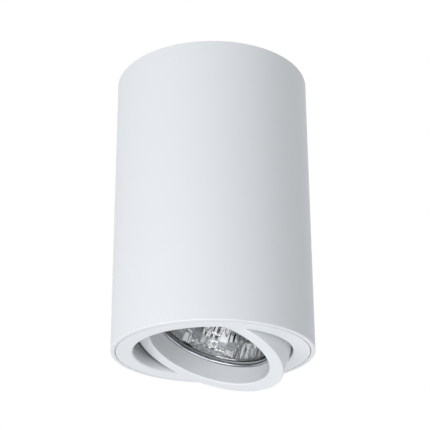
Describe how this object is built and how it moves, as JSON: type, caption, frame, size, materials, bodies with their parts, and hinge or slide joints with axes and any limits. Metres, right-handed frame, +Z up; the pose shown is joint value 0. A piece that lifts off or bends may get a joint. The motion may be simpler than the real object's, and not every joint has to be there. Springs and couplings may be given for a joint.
{
  "type": "surface mounted ceiling spotlight",
  "caption": "White tubular surface mounted ceiling spotlight with a swivelling trim and a tilting lamp ring in its open lower end.",
  "frame": {"origin": "centre of the face that lies on the ceiling, on the axis of the tube", "axes": "+Z up, out of the ceiling face, along the tube; the bracket's ears and the side screws are along X; the terminal block is on the +Y side"},
  "size_m": [0.085, 0.085, 0.1355],
  "materials": {
    "white_powder_coat": "fine satin powder coat",
    "zinc_steel": "zinc plated, satin",
    "spring_steel": "bright rolled spring steel",
    "polished_wire": "polished stainless wire",
    "screw_steel": "zinc plated",
    "black_rubber": "matt moulded rubber",
    "block_nylon": "natural moulded nylon",
    "brass": "turned brass",
    "bronze_contact": "rolled phosphor bronze",
    "washer_nylon": "moulded nylon",
    "cover_glass": "clear polished glass",
    "reflector_glass": "aluminised pressed glass",
    "quartz": "clear quartz",
    "tungsten": "drawn tungsten",
    "lamp_ceramic": "satin glazed steatite",
    "holder_ceramic": "unglazed steatite",
    "pin_nickel": "nickel plated",
    "brown_silicone": "smooth silicone rubber",
    "blue_silicone": "smooth silicone rubber",
    "earth_silicone": "smooth silicone rubber, green with a yellow stripe",
    "glass_fibre": "braided glass fibre, varnished"
  },
  "bodies": {
    "housing": {"housing_tube": "white_powder_coat", "mounting_bracket": "zinc_steel", "side_screws": "screw_steel", "cable_grommet": "black_rubber", "terminal_block": "block_nylon", "terminal_tubes": "brass", "terminal_screws": "screw_steel", "block_screws": "screw_steel", "earth_screw": "screw_steel", "earth_washer": "spring_steel", "earth_eyelet": "pin_nickel", "earth_lead": "earth_silicone", "live_lead": "brown_silicone", "neutral_lead": "blue_silicone"},
    "swivel_trim": {"trim_ring": "white_powder_coat", "trim_springs": "spring_steel", "spring_rivets": "zinc_steel"},
    "lamp_ring": {"tilt_ring": "white_powder_coat", "pivot_screws": "screw_steel", "friction_washers": "washer_nylon", "lamp_retaining_wire": "polished_wire", "lamp_front_glass": "cover_glass", "lamp_reflector": "reflector_glass", "lamp_capsule": "quartz", "lamp_filament": "tungsten", "lamp_base": "lamp_ceramic", "lamp_pins": "pin_nickel", "lampholder_body": "holder_ceramic", "lampholder_contacts": "bronze_contact", "lampholder_cover": "holder_ceramic", "lampholder_screws": "screw_steel", "lead_sleeves": "glass_fibre"}
  },
  "joints": [
    {"name": "trim_swivel", "type": "hinge", "parent": "housing", "child": "swivel_trim", "pos_m": [0, 0, -0.1239], "axis": [0, 0, 1], "range_deg": [-175, 175], "deforming": ["live_lead", "neutral_lead"]},
    {"name": "ring_tilt", "type": "hinge", "parent": "swivel_trim", "child": "lamp_ring", "pos_m": [0, 0, -0.1189], "axis": [-0.4384, 0.8988, 0], "range_deg": [-45, 5], "deforming": ["live_lead", "neutral_lead"]}
  ]
}
